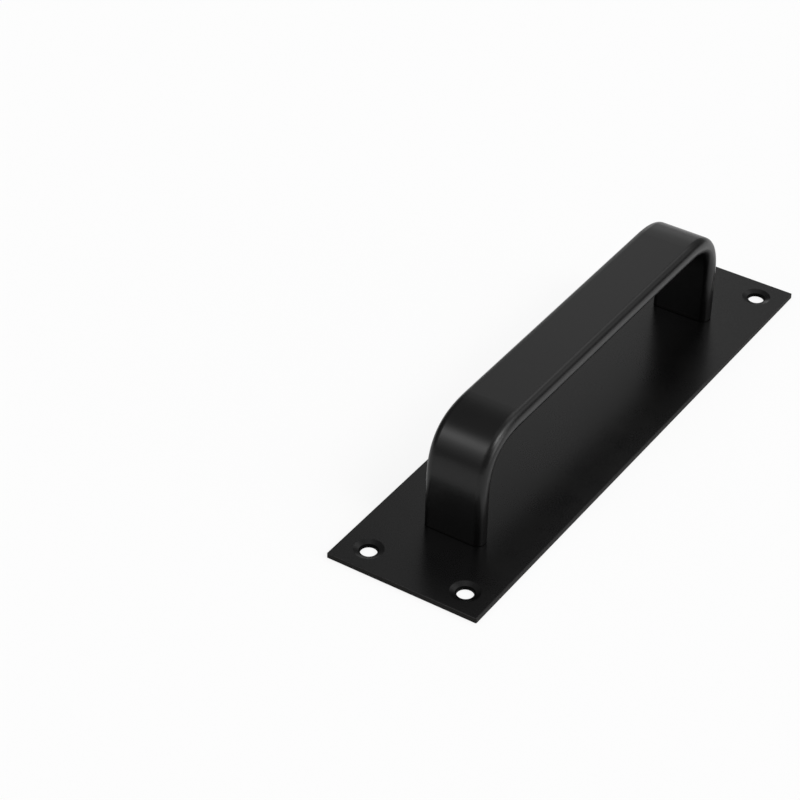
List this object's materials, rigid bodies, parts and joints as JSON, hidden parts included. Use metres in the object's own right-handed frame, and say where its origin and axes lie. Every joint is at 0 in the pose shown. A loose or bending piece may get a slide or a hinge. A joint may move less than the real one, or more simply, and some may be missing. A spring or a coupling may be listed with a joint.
{
  "type": "sliding door pull handle",
  "caption": "Bow pull handle on a thin rectangular plate, for surface mounting on a sliding door, with countersunk corner holes.",
  "frame": {"origin": "centre of the plate's back face, which lies against the door", "axes": "+X along the plate and the grip, +Y across the plate, +Z away from the door towards the hand"},
  "size_m": [0.175, 0.045, 0.034],
  "materials": {
    "plate_finish": "satin black",
    "bow_finish": "satin black anodised",
    "screw_steel": "zinc plated"
  },
  "bodies": {
    "root": {"back_plate": "plate_finish", "handle_bow": "bow_finish", "fixing_screws": "screw_steel"}
  },
  "joints": []
}
